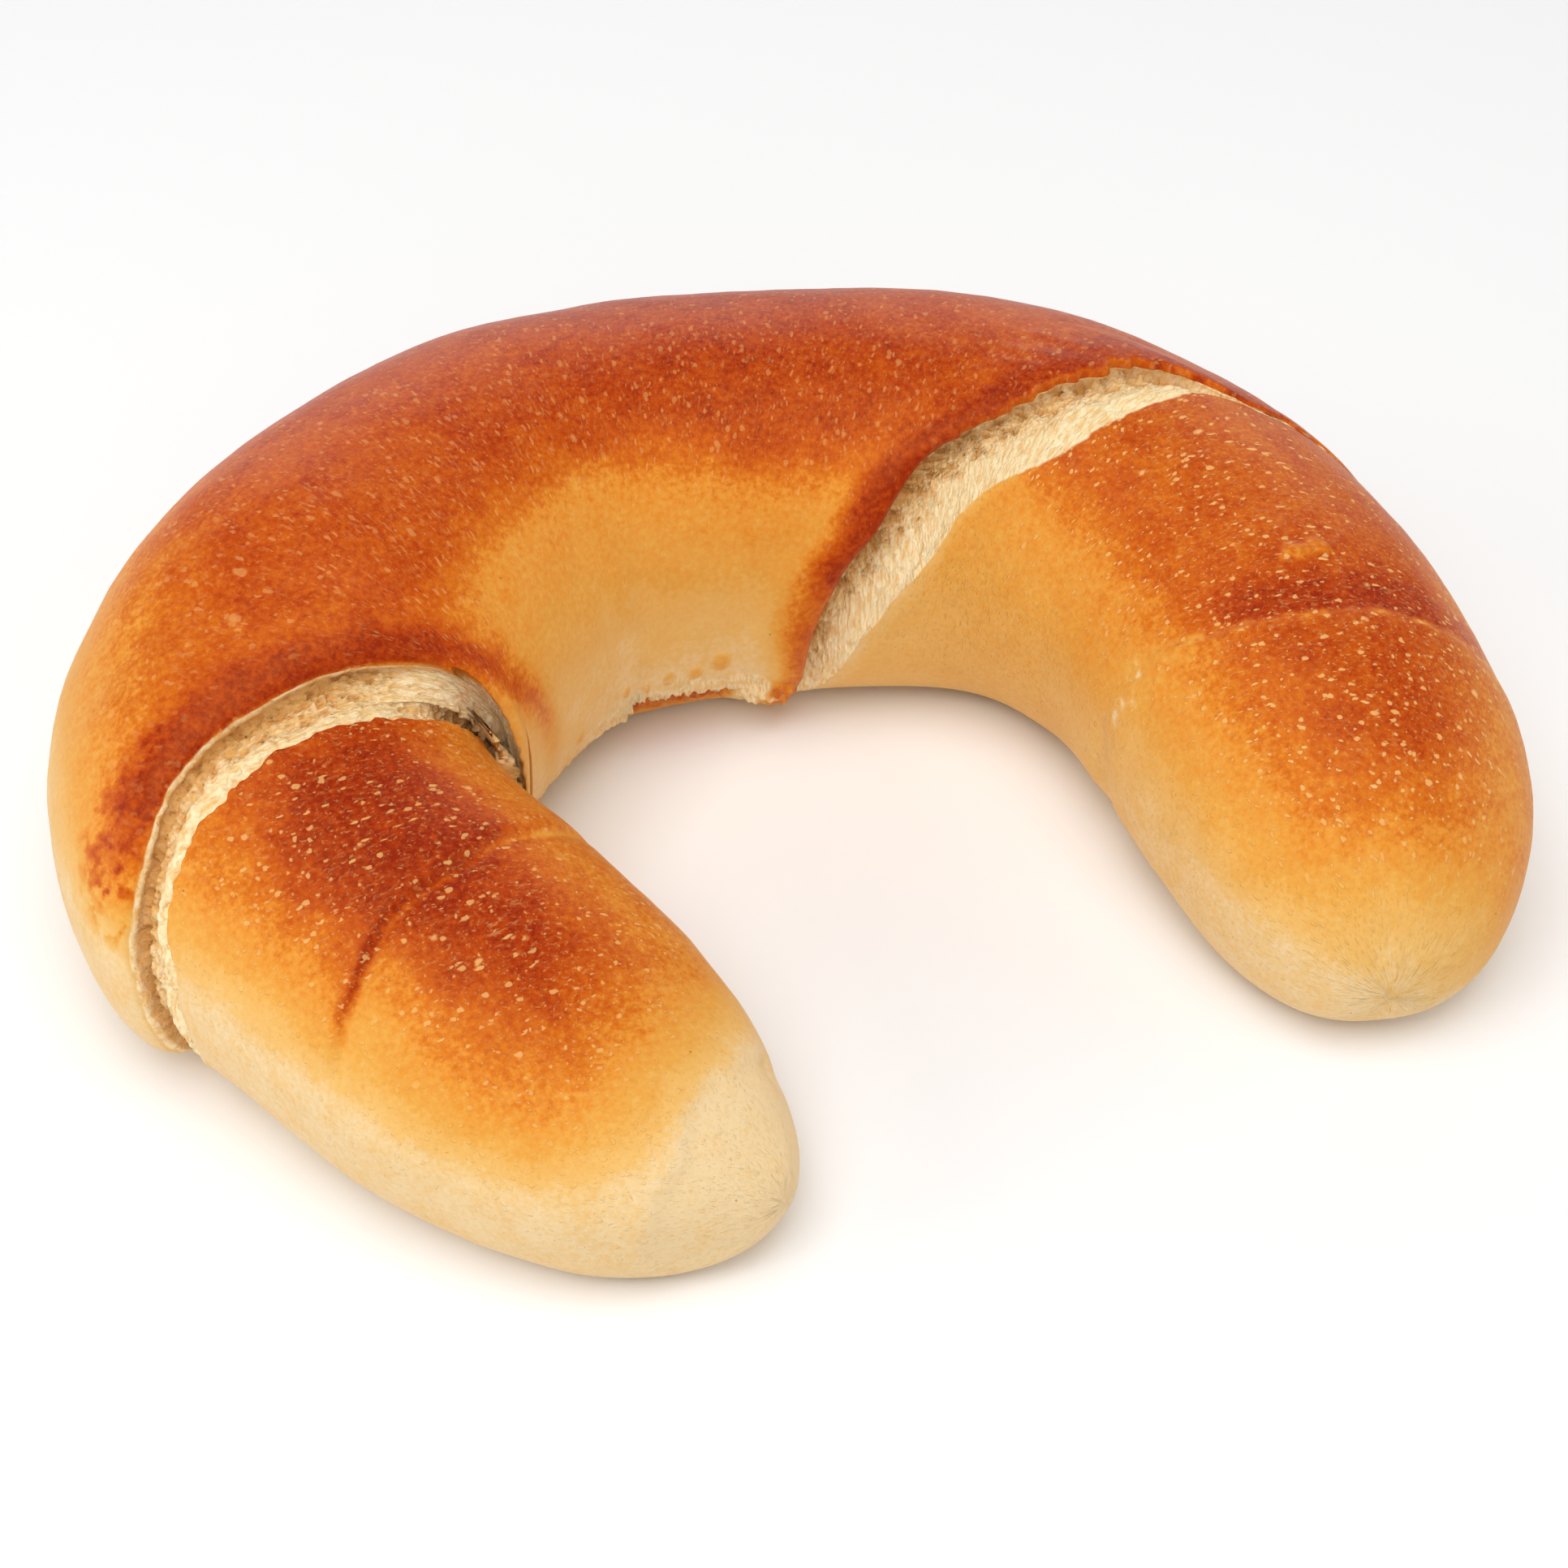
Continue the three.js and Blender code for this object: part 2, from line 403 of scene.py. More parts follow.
def right_tear(angle):
    """Columns across the right tear, towards the right horn."""
    width = np.maximum(right_rim(angle) - right_lip(angle), 0.3)
    opening = smooth(width, 0.3, 7)
    lip = fine_profile(RIGHT_LIP_PROFILE, LIP_COLUMNS)
    crumb = fine_profile(RIGHT_CRUMB_PROFILE, RIGHT_CRUMB_COLUMNS, RIGHT_OPENING)
    sharper = 1 - 0.7 * flaky(angle) * smooth(lip[:, 0], -3, -1)
    lip_distance = lip[:, 0] * np.where(lip[:, 1] < -0.2, mix(0.3, 1, opening), sharper)
    distance = np.hstack([lip_distance, across(lip_distance[:, -1:], width, crumb[:, 0])])
    height = np.append(lip[:, 1], crumb[:, 1]) * np.ones_like(angle)
    depth = mix(0.04, 1.0, opening) * (1 - 0.35 * between(angle, 40, 65, 100, 112))
    height = height * np.where(height < 0, depth, mix(0.5, 1.0, opening))
    bare = np.append(lip[:, 2], crumb[:, 2]) * smooth(width, 0.4, 1.5)
    return right_lip(angle) + distance, height * off_tray(angle), bare


def left_fold(angle):
    """Where the dough's outermost turn ends on the left horn."""
    place = along_curve(angle, [(58, 41.4), (72, 42), (107, 42), (122, 40.6), (136, 39.6), (150, 38.6)])
    return place + 0.35 * wobble(angle, 3, 16.5)


def right_fold(angle):
    """Where the dough's outermost turn ends on the right horn."""
    place = along_curve(angle, [
        (-90, 227), (0, 228), (12, 228.7), (38, 229), (50, 231), (61, 232.3), (78, 234), (90, 235),
        (140, 239), (200, 240), (270, 227),
    ])
    return place + 0.5 * wobble(angle, 5, 14.5) + 0.25 * wobble(angle, 1.6, 15.5)


def tip_fold(angle):
    """Where the pale pinched tip of the left horn begins."""
    return 8.2 + 1.2 * wobble(angle, 9, 12.5) + 0.4 * wobble(angle, 2.5, 13.5)


def fold_columns(place, reach, count):
    """Columns that crowd round a fold."""
    share = np.linspace(-1, 1, count)[None, :]
    along = place + reach * (0.35 * share + 0.65 * share**3)
    return along, np.zeros_like(along), np.zeros_like(along)


def grid(angle):
    """The whole skin's columns, from tip to tip: place along the spine, profile height and bareness."""
    left = [side[:, ::-1] for side in left_tear(angle)]
    right = right_tear(angle)
    near_left = fold_columns(left_fold(angle), 4.5, LEFT_FOLD_COLUMNS)
    near_right = fold_columns(right_fold(angle), 5.0, RIGHT_FOLD_COLUMNS)
    zones = [near_left, left, right, near_right]
    ones = np.ones_like(angle)
    starts = [0 * ones] + [zone[0][:, -1:] for zone in zones]
    ends = [zone[0][:, :1] for zone in zones] + [LENGTH * ones]
    pieces = []
    for number, (start, end, count) in enumerate(zip(starts, ends, PLAIN_COLUMNS)):
        share = (np.arange(count) + 1) / (count + 1)
        if number == 0:
            share = 1 - np.cos(share * math.pi / 2)
        elif number == len(PLAIN_COLUMNS) - 1:
            share = np.sin(share * math.pi / 2)
        along = mix(start, end, share[None, :])
        pieces.append((along, np.zeros_like(along), np.zeros_like(along)))
        if number < len(zones):
            pieces.append(zones[number])
    return [np.hstack(parts) for parts in zip(*pieces)]


def step_over(distance, rise, groove, reach):
    """A fold: the skin drops by rise over it, and a narrow groove runs along its foot."""
    step = rise * np.tanh(distance / 0.7) * np.exp(-((distance / reach) ** 2))
    return step - groove * bell(distance, -0.4, 0.8)


def dab(along, angle, place, radius):
    """1 in the middle of a small round spot on the skin and 0 outside its radius."""
    distance = np.hypot(along - place[0], (angle - place[1]) * MM_PER_DEGREE)
    return smooth(distance, radius, 0.6 * radius)


def foot_rag(along, angle):
    """The torn edge of the skin at the inner foot of the centre wrap: 1 where it's palest and porous."""
    wide = between(along, 92, 122, 146, 158)
    return wide * smooth(angle, -12 * (1 - wide), -30) * off_tray(angle)


def bare_base(along, angle):
    """1 where the torn edge leaves the brown crust of the base to be seen."""
    places = np.stack([along, 0 * along, 0 * along + 4.5], axis=-1)
    edge = -24 - 0.35 * (along - 127) + 3 * noise(places, 1.6) + 2 * noise(places, 0.6)
    return smooth(angle, edge + 0.6, edge - 0.6) * between(along, 125, 128, 143, 146)


def relief(along, angle, points):
    """Height of the skin's unevenness, sunken horn, folds and facets over the untorn skin."""
    # Swells all over, the sunken left horn, and the two shoulders on the outer side.
    height = 0.45 * noise(points, 26) + 0.2 * noise(points + 9, 11) + 0.05 * layered_noise(points, 4, 2)
    past_lip = left_lip(angle) - along
    width = left_lip(angle) - left_rim(angle)
    height += LEFT_SINK * smooth(past_lip / width, 0, 1) * smooth(past_lip - width, 22, 0)
    height += 0.9 * bell(along, 70, 9) * smooth(angle, 130, 175) * smooth(past_lip, 4, 0)
    height += 0.8 * bell(along, 246, 14) * smooth(angle, 130, 175)

    # The two folds, and the dent at the foot of the right one.
    on_left = between(angle, 10, 45, 140, 160)
    height += step_over(along - left_fold(angle), 0.3, 0.35, 6) * on_left
    on_right = between(angle, 5, 60, 150, 190)
    softer = 1 - 0.65 * smooth(angle, 60, 85)
    height += softer * step_over(right_fold(angle) - along, -0.3, 0.3, 7) * on_right
    height -= 1.3 * bell(along, right_fold(angle) - 1, 2.2) * bell(angle, -14, 18)

    # The pinched left tip and the dimple on it.
    past_tip_fold = tip_fold(angle) - along
    at_tip = between(angle, 0, 25, 195, 215)
    height -= (0.55 * smooth(past_tip_fold, -0.3, 0.4) - 0.15 * bell(past_tip_fold, -1.0, 0.9)) * at_tip
    height -= 1.3 * bell(along, 7.5, 1.3) * bell(angle, 26, 11)

    # The knob, the torn skin and the bubbles at the inner foot.
    foot = bell(along, 151, 3.5) * bell(angle, -38, 14)
    height += foot * (1.6 + 0.9 * noise(points, 2.2))
    torn = between(along, 90, 105, 152, 160) * smooth(angle, -14, -34)
    height += (0.7 * noise(points + 3, 1.3) + 0.35 * noise(points + 3, 0.6)) * torn
    height -= 1.2 * bare_base(along, angle)
    for place, radius in BUBBLES:
        height += 0.25 * dab(along, angle, place, radius)
    height += 0.3 * flake(along, angle, points)
    return height * off_tray(angle) * between(along, 0, 3, LENGTH - 4, LENGTH)


def flake(along, angle, points):
    """A loose scale of skin on the right horn."""
    distance = np.hypot((along - 227) / 1.2, (angle - 92.5) * MM_PER_DEGREE / 2.2)
    return smooth(distance + 0.6 * noise(points, 1.5), 1.0, 0.9)


def crumb_relief(along, angle, hollow):
    """Torn crumb: strands stretched round the section, and open pores, deepest in the hollow under a lip.

    Gives the height and how deep inside a pore each point is.
    """
    places = skin_places(along, angle, 2.5)
    shifted = [places + 40 * i for i in range(3)]
    bend = np.stack([noise(place, 2.3) + 0.5 * noise(place, 0.9) for place in shifted], axis=-1)
    bent = places + 0.8 * bend
    nearest, second = cells(bent, 1.6)
    small, small_second = cells(bent + 5, 0.75)
    pore = smooth(second - nearest, 0.04, 0.4) * smooth(noise(places + 60, 2.6), -0.25, 0.25)
    small_pore = smooth(small_second - small, 0.04, 0.4)
    strands = 0.14 * noise(bent, (0.7, 2.4, 1.0)) + 0.4 * noise(bent + 8, (2.4, 6.0, 1.0))
    height = strands - (0.05 + 0.75 * hollow) * pore - (0.08 + 0.2 * hollow) * small_pore
    return height, hollow * clamp(0.7 * pore + 0.4 * small_pore)


# ---------------------------------------- baking colour, with painted shade and sheen at the left fold

# How brown the skin is: 0 is cream, 0.5 orange and 1 a dark reddish brown. Three coats add up, the pale one
# all over and the others between an inner and an outer edge, with levels that change along the spine.
PALE_LEVEL = [(0, 0), (12, 0.02), (60, 0.03), (90, 0.07), (130, 0.1), (200, 0.13), (230, 0.07), (268, 0.03)]
ORANGE_LEVEL = [
    (0, 0), (8, 0.0), (13, 0.14), (20, 0.4), (40, 0.44), (56, 0.42), (75, 0.36), (100, 0.3), (150, 0.28),
    (175, 0.22), (200, 0.22), (220, 0.32), (240, 0.34), (254, 0.33), (260, 0.3), (264, 0.15), (268, 0.03),
]
ORANGE_INNER = [
    (0, 40), (30, 14), (60, 10), (90, 20), (107, 25), (130, 22), (150, 15), (170, 22), (200, 18), (230, 22),
    (268, 40),
]
ORANGE_OUTER = [(0, 140), (56, 146), (75, 148), (100, 168), (200, 174), (240, 182), (268, 200)]
BROWN_LEVEL = [
    (0, 0), (19, 0.06), (26, 0.34), (38, 0.5), (48, 0.56), (57, 0.47), (63, 0.42), (68, 0.3), (80, 0.34),
    (100, 0.38), (150, 0.46), (180, 0.44), (200, 0.32), (220, 0.26), (232, 0.34), (250, 0.36), (257, 0.18),
    (262, 0.04), (268, 0),
]
BROWN_INNER = [
    (0, 70), (26, 70), (50, 68), (60, 60), (75, 52), (100, 53), (134, 53), (150, 43), (165, 44), (190, 50),
    (208, 47), (220, 49), (232, 55), (250, 66), (268, 70),
]
BROWN_OUTER = [
    (0, 112), (56, 112), (74, 112), (86, 124), (110, 155), (200, 155), (228, 136), (250, 124), (268, 124),
]


def coat(along, angle, level, inner, outer, softness):
    """One coat of baking colour between its two edges, each as soft as its softness in degrees."""
    inner_edge, outer_edge = along_curve(along, inner), along_curve(along, outer)
    rise = smooth(angle, inner_edge - softness[0], inner_edge + softness[0])
    fall = smooth(angle, outer_edge + softness[1], outer_edge - softness[1])
    return along_curve(along, level) * rise * fall


def left_ridge(angle):
    """The dark band on the centre wrap that runs along the left lip and leaves it on the inner side."""
    return along_curve(angle, [
        (-90, 98), (-20, 97), (-3, 95), (8, 91.8), (20, 88), (35, 83.2), (50, 77.9), (67, 72.2), (83, 69.9),
        (96, 68.3), (114, 66.0), (135, 63.9), (190, 61.5), (270, 61),
    ])


DEEP_BROWN = 0.78  # browning above this flattens out
DEEP_RANGE = 0.18  # and ends this much higher


def browning_shade_and_sheen(along, angle, points):
    """How brown the skin is, from 0 to 1, with painted shade in the left fold's groove and a painted sheen
    on its facet.
    """
    shifted_along = along + layered_noise(points, 9, 4)
    shifted_angle = angle + 3.2 * layered_noise(points + 50, 10, 4)
    blotch = noise(points + 20, 3.2)
    fleck = smooth(noise(points + 70, 1.3) + 0.5 * blotch, 0.1, 0.7)
    brown = along_curve(shifted_along, PALE_LEVEL) * smooth(shifted_angle, -70, -20)
    brown += coat(shifted_along, shifted_angle, ORANGE_LEVEL, ORANGE_INNER, ORANGE_OUTER, (34, 26))
    softness = mix(22, 13, between(along, 60, 90, 225, 245))
    brown += coat(shifted_along, shifted_angle, BROWN_LEVEL, BROWN_INNER, BROWN_OUTER, (softness, 22))
    brown = left_browning_shade_and_sheen(brown, along, angle, blotch, fleck)
    brown = right_browning(brown, along, angle, blotch, fleck)

    # Ragged islands of darker skin, the loose scale and the bubbles.
    islands = smooth(layered_noise(points + 90, (5, 5, 3.5), 4), -0.06, 0.1) - 0.5
    brown += 0.06 * islands * between(brown, 0.3, 0.55, 0.8, 1.0)
    scale = flake(along, angle, points)
    brown -= 0.24 * scale + 0.5 * scale * (1 - scale)
    for place, radius in BUBBLES:
        bubble_brown = 0.5 if place[0] > 146 else 0.2
        brown = mix(brown, bubble_brown, 0.85 * dab(along, angle, place, radius))
    flattened = DEEP_BROWN + DEEP_RANGE * np.tanh((brown - DEEP_BROWN) / DEEP_RANGE)
    return clamp(np.where(brown > DEEP_BROWN, flattened, brown) + 0.02 * layered_noise(points, 4, 3))


def left_browning_shade_and_sheen(brown, along, angle, blotch, fleck):
    """Colour round the left tear, the left fold and the left horn's tip, with painted shade and sheen at the
    fold.
    """
    # The dark ridge behind the lip, the band and streaks beside it, and the flecks on the outer flank.
    past_lip = left_lip(angle) - along
    on_wrap = smooth(past_lip, 1.5, 0.5)
    ridge_width = mix(4.2, 2.5, smooth(np.abs(angle - 42), 5, 50))
    ridge = bell(along, left_ridge(angle), ridge_width) * between(angle, -22, 20, 110, 165)
    target = mix(0.6, 1.04, smooth(angle, 5, 50))
    brown = mix(brown, target, clamp(ridge * (0.85 + 0.3 * blotch)) * on_wrap * (brown < target))
    beside = between(past_lip, -0.2, -0.7, -1.5, -5.5) * between(angle, 48, 62, 105, 150)
    brown = mix(brown, 0.92, beside * clamp(0.85 + 0.35 * blotch) * (brown < 0.92))
    streak = smooth(layered_noise(skin_places(along, angle, 7.5), (0.9, 3.5, 1.0), 3), 0.0, 0.25)
    streaky = between(past_lip, 0.1, -0.3, -1.0, -4.5) * between(angle, 90, 108, 155, 172)
    brown = mix(brown, 0.86, streak * streaky * 0.8 * (brown < 0.86))
    flank = bell(along, left_ridge(angle) + 0.5, 3.0) * between(angle, 98, 120, 150, 172)
    brown += (0.35 * flank * fleck + 0.1 * flank) * on_wrap

    # The pale rolled lip.
    inside = smooth(angle, 80, 30)
    rolled = smooth(past_lip, -mix(0.1, 1.8, inside), mix(0.4, 0.15, inside))
    rolled *= along > 0.5 * (left_lip(angle) + left_rim(angle))
    brown = mix(brown, 0.12, rolled * smooth(angle, -60, -30) * mix(0.7, 0.9, inside))

    # A ragged lighter patch on the horn's crust, next to the tear.
    past_rim = left_rim(angle) - along
    ragged = 5 * blotch + 4 * fleck
    patch = smooth(past_rim, -1, 0.3) * smooth(past_rim + 0.4 * ragged, 24, 21)
    patch *= smooth(angle + ragged, 56, 72) * smooth(angle - 0.5 * past_rim + ragged, 115, 111)
    brown += (-0.03 + 0.15 * smooth(past_rim, 1, 8) - 0.05 * smooth(past_rim, 10, 17)) * patch

    # The fold: darker before it, a pale line on it, painted shade in the groove further out, and a painted
    # sheen lightening the flat facet.
    past_fold = left_fold(angle) - along
    upstream = between(past_fold, -5, -0.8, -0.2, 0.4)
    brown += 0.16 * upstream * between(angle, 55, 72, 100, 114)
    line = bell(past_fold, 0.45, 0.45) * between(angle, 20, 45, 104, 114)
    brown -= 0.3 * line * (0.75 + 0.6 * blotch)
    # Painted shade: the groove at the fold is darkened.
    groove = bell(past_fold, -0.3, mix(0.65, 1.1, fleck)) * between(angle, 106, 118, 132, 147)
    brown += 0.34 * groove
    # Painted sheen: the flat facet past the fold is lightened.
    facet_sheen = between(past_fold, 0.4, 1.0, 3, 9) * between(angle, 110, 116, 138, 158)
    brown -= 0.3 * facet_sheen * brown

    tip = smooth(tip_fold(angle) - along, -1.5, 0.8) * between(angle, -20, 20, 200, 220)
    return mix(brown, 0.0, 0.9 * tip)


def right_browning(brown, along, angle, blotch, fleck):
    """Colour round the right tear, the inner foot and the right fold."""
    # The dark band behind the lip, the lip's edge, and the pale rim of the horn's crust.
    past_lip = right_lip(angle) - along
    width = along_curve(angle, [(-40, 3), (-18, 5), (0, 8), (20, 9), (60, 8), (110, 9)])
    amount = along_curve(angle, [
        (-40, 0.6), (-20, 0.75), (10, 0.9), (30, 1), (50, 0.95), (70, 0.65), (115, 0.5), (135, 0),
    ])
    band = smooth(past_lip, width, mix(0.1, 0.35, smooth(angle, 10, 40)) * width)
    band = band * (past_lip > -1.5) * smooth(angle, -60, -35)
    target = mix(0.72, 1.1, smooth(angle, -12, 20))
    brown = mix(brown, target, clamp(band * amount * (0.92 + 0.25 * blotch)) * (brown < target))
    edge = bell(past_lip, 0.1, 0.5) * between(angle, 45, 60, 112, 125)
    brown = mix(brown, mix(0.62, 1.0, fleck), edge)
    past_rim = along - right_rim(angle)
    brown *= 1 - 0.5 * smooth(past_rim, 4, 0) * (past_rim > -1) * smooth(angle, 60, 30)

    # The inner foot: its knob, its pale torn edge, and the brown base under that.
    foot = smooth(along, 147, 151) * smooth(angle, -18, -30) * off_tray(angle)
    brown = mix(brown, 0.5 + 0.3 * fleck, foot * (past_lip > -1.5) * smooth(along, 158, 156))
    rag = foot_rag(along, angle)
    pale = between(along, 90, 125, 146, 153) * smooth(angle, 14, -16)
    brown = mix(brown, 0.03, 0.85 * np.maximum(rag * smooth(along, 152, 148), pale))
    base_brown = 0.82 + 0.3 * smooth(blotch + fleck, 0.2, 0.9)
    brown = mix(brown, base_brown, bare_base(along, angle) * off_tray(angle))

    # The fold: a dark band before it and a paler broken line on it.
    past_fold = along - right_fold(angle)
    fold_band = between(past_fold, -8, -1.5, -0.3, 0.6)
    brown += 0.2 * fold_band * between(angle, 50, 75, 130, 165)
    line = bell(past_fold, 0.9, mix(2.2, 0.9, smooth(angle, 30, 75))) * between(angle, 0, 25, 110, 140)
    return brown - 0.34 * line * (0.25 + 0.3 * blotch + 0.75 * fleck)


# ---------------------------------------- the mesh

def roll_angles():
    """The rows' angles, finer where the skin can be seen than on the base."""
    low, high = SEEN_ANGLES
    seen = np.linspace(low, high, ROWS_SEEN)
    under = np.linspace(high, low + 360, ROWS_UNDER + 2)[1:-1]
    return np.append(seen, under)[:, None]


def speckling(along, angle):
    """How strongly the blisters show: least on the two dark ridges beside the tears, most on the horns."""
    past_left, past_right = along - left_lip(angle), right_lip(angle) - along
    on_horn = np.maximum(past_left < -0.3, past_right < -0.3)
    on_left_ridge = smooth(past_left, 7, 3) * (past_left > 0)
    on_right_ridge = smooth(past_right, 8, 3) * (past_right > 0) * smooth(angle, 80, 50)
    speckled = mix(0.45, 1.0 + 0.2 * (along > 110), on_horn * smooth(angle, -40, 0))
    return speckled * (1 - 0.6 * on_left_ridge) * (1 - 0.75 * on_right_ridge)


def roll_surface():
    """The finished skin as a grid of points, with the values that colour it."""
    angle = roll_angles()
    along, height, bare = grid(angle)
    angle = angle + 0 * along
    smooth_points = skin(along, angle)
    normals = skin_normals(along, angle)
    height = height + relief(along, angle, smooth_points)
    points = smooth_points + normals * height[..., None]
    crumbly = foot_rag(along, angle) * (0.75 + 0.5 * noise(smooth_points, 1.6))
    bare = np.maximum(bare, clamp(crumbly, 0, 0.8) * (1 - bare_base(along, angle)))
    hollow = smooth(height, -0.7, -2.2)
    rough, pore = crumb_relief(along, angle, hollow)
    rough = rough * smooth(bare, 0.4, 0.9) * off_tray(angle)
    points += normals * rough[..., None]
    points[..., 2] = np.maximum(points[..., 2], 0)
    under_lip_shade = bell(left_lip(angle) - along, 0.4, 1.3) * bare * (angle > 40)
    values = {
        "speckled": speckling(along, angle),
        "browning_shade_and_sheen": browning_shade_and_sheen(along, angle, smooth_points),
        "crumb": bare * off_tray(angle),
        # depth: how far painted shade browns the crumb, from its hollows, its pores and the strip under the
        # left lip
        "depth": clamp(-height / 6 + 0.65 * pore + 0.35 * under_lip_shade),
        "underside": smooth(points[..., 2], 0.5, 0.1),
    }
    place = np.stack([along, angle * MM_PER_DEGREE, height], axis=-1)
    return points, values, place


def closed_mesh(points):
    """Vertices and faces of a grid closed round its rows and by one vertex at each tip."""
    rows, columns = points.shape[:2]
    tips = skin(np.array([0.0, LENGTH]), np.zeros(2))
    vertices = np.vstack([points.reshape(-1, 3), tips])
    row = np.arange(rows)
    next_row = (row + 1) % rows
    column = np.arange(columns - 1)

    def corner(row_numbers, column_numbers):
        return (row_numbers[:, None] * columns + column_numbers[None, :]).reshape(-1)

    quads = np.stack([corner(row, column), corner(row, column + 1), corner(next_row, column + 1),
                      corner(next_row, column)], axis=-1)
    first, last = rows * columns, rows * columns + 1
    left = np.stack([row * columns, next_row * columns, np.full(rows, first)], axis=-1)
    right = np.stack([next_row * columns + columns - 1, row * columns + columns - 1, np.full(rows, last)],
                     axis=-1)
    return vertices, quads.tolist() + left.tolist() + right.tolist()


def fit_to_box(vertices):
    """The same vertices in metres, centred and scaled to the CAD roll's box."""
    low, high = vertices.min(0), vertices.max(0)
    low_box, high_box = np.array(BOX_LOW), np.array(BOX_HIGH)
    scale = (high_box - low_box)[0] / (high - low)[0]
    moved = vertices * scale
    middle = (low + high) / 2 * scale
    box_middle = (low_box + high_box) / 2
    moved[:, :2] += (box_middle - middle)[:2]
    moved[:, 2] += low_box[2] - low[2] * scale
    return moved


def add_values(mesh, values, place):
    """Store the values and the places on the skin at the mesh's vertices, for the material."""
    for name, value in values.items():
        attribute = mesh.attributes.new(name, "FLOAT", "POINT")
        tips = [value[:, 0].mean(), value[:, -1].mean()]
        attribute.data.foreach_set("value", np.append(value.reshape(-1), tips).astype(np.float32))
    attribute = mesh.attributes.new("skin_place", "FLOAT_VECTOR", "POINT")
    tips = np.array([place[:, 0].mean(0), place[:, -1].mean(0)])
    whole = np.vstack([place.reshape(-1, 3), tips])
    attribute.data.foreach_set("vector", whole.astype(np.float32).reshape(-1))


def make_roll(material):
    """The whole roll as one object."""
    points, values, place = roll_surface()
    vertices, faces = closed_mesh(points)
    mesh = bpy.data.meshes.new("baked_roll")
    mesh.from_pydata(fit_to_box(vertices).tolist(), [], faces)
    mesh.shade_smooth()
    add_values(mesh, values, place)
    mesh.materials.append(material)
    roll = bpy.data.objects.new("baked_roll", mesh)
    bpy.context.scene.collection.objects.link(roll)
    return roll


# ---------------------------------------- materials

def srgb(red, green, blue):
    """Linear colour of a display colour given as 0 to 255."""
    shares = [channel / 255 for channel in (red, green, blue)]
    return (*(s / 12.92 if s <= 0.04 else ((s + 0.055) / 1.055) ** 2.4 for s in shares), 1.0)


class Nodes:
    """Short calls for building one material's node tree."""

    def __init__(self, name):
        self.material = bpy.data.materials.new(name)
        self.material.use_nodes = True
        self.tree = self.material.node_tree
        self.shader = self.tree.nodes["Principled BSDF"]

    def add(self, kind, inputs=None, **settings):
        node = self.tree.nodes.new(kind)
        for name, value in settings.items():
            setattr(node, name, value)
        for name, value in (inputs or {}).items():
            self.put(node.inputs[name], value)
        return node

    def put(self, socket, value):
        if isinstance(value, bpy.types.NodeSocket):
            self.tree.links.new(value, socket)
        else:
            socket.default_value = value

    def value(self, name):
        """A number stored at the mesh's vertices."""
        return self.add("ShaderNodeAttribute", attribute_name=name).outputs["Fac"]

    def vector(self, name):
        return self.add("ShaderNodeAttribute", attribute_name=name).outputs["Vector"]

    def maths(self, operation, *values):
        inputs = dict(enumerate(values))
        return self.add("ShaderNodeMath", inputs, operation=operation).outputs[0]

    def scaled(self, vector, scale):
        return self.add("ShaderNodeVectorMath", {0: vector, "Scale": scale}, operation="SCALE").outputs[0]

    def remap(self, value, low, high, to_low=0.0, to_high=1.0):
        """A smooth rise from to_low to to_high as the value goes from low to high."""
        node = self.add("ShaderNodeMapRange", interpolation_type="SMOOTHSTEP")
        for name, item in (("Value", value), ("From Min", low), ("From Max", high),
                           ("To Min", to_low), ("To Max", to_high)):
            self.put(node.inputs[name], item)
        return node.outputs["Result"]

    def stretch(self, vector, scale):
        return self.add("ShaderNodeMapping", {"Vector": vector, "Scale": scale}).outputs["Vector"]

    def turned(self, vector, angle):
        inputs = {"Vector": vector, "Rotation": (0, 0, angle)}
        return self.add("ShaderNodeMapping", inputs).outputs["Vector"]

    def noise(self, vector, scale, detail, roughness):
        inputs = {"Vector": vector, "Scale": scale, "Detail": detail, "Roughness": roughness}
        return self.add("ShaderNodeTexNoise", inputs).outputs["Fac"]

    def dots(self, vector, scale, smallest, largest):
        """Round dots of random sizes, given as shares of their spacing. Under 0 there's no dot."""
        texture = self.add("ShaderNodeTexVoronoi", {"Vector": vector, "Scale": scale})
        chance = self.add("ShaderNodeSeparateColor", {"Color": texture.outputs["Color"]}).outputs["Red"]
        size = self.maths("MULTIPLY_ADD", self.maths("POWER", chance, 2.0), largest - smallest, smallest)
        return self.remap(self.maths("SUBTRACT", texture.outputs["Distance"], size), 0.06, -0.06)

    def blend(self, share, first, second):
        node = self.add("ShaderNodeMix", data_type="RGBA")
        self.put(node.inputs["Factor"], share)
        colour_a, colour_b = (s for s in node.inputs if s.type == "RGBA")
        self.put(colour_a, first)
        self.put(colour_b, second)
        return next(s for s in node.outputs if s.type == "RGBA")

    def ramp(self, value, stops):
        node = self.add("ShaderNodeValToRGB", {"Fac": value})
        elements = node.color_ramp.elements
        while len(elements) < len(stops):
            elements.new(0.5)
        for element, (position, colour) in zip(elements, stops):
            element.position = position
            element.color = colour
        return node.outputs["Color"]


CRUST_COLOURS = [
    (0.0, srgb(236, 208, 160)),
    (0.08, srgb(232, 184, 108)),
    (0.2, srgb(226, 162, 72)),
    (0.36, srgb(222, 140, 48)),
    (0.5, srgb(208, 110, 24)),
    (0.68, srgb(192, 82, 14)),
    (0.85, srgb(172, 56, 8)),
    (1.0, srgb(142, 30, 6)),
]
BASE_COLOURS = [(0.35, srgb(100, 50, 20)), (0.65, srgb(170, 106, 52))]
BLISTER_COLOUR = srgb(242, 184, 112)
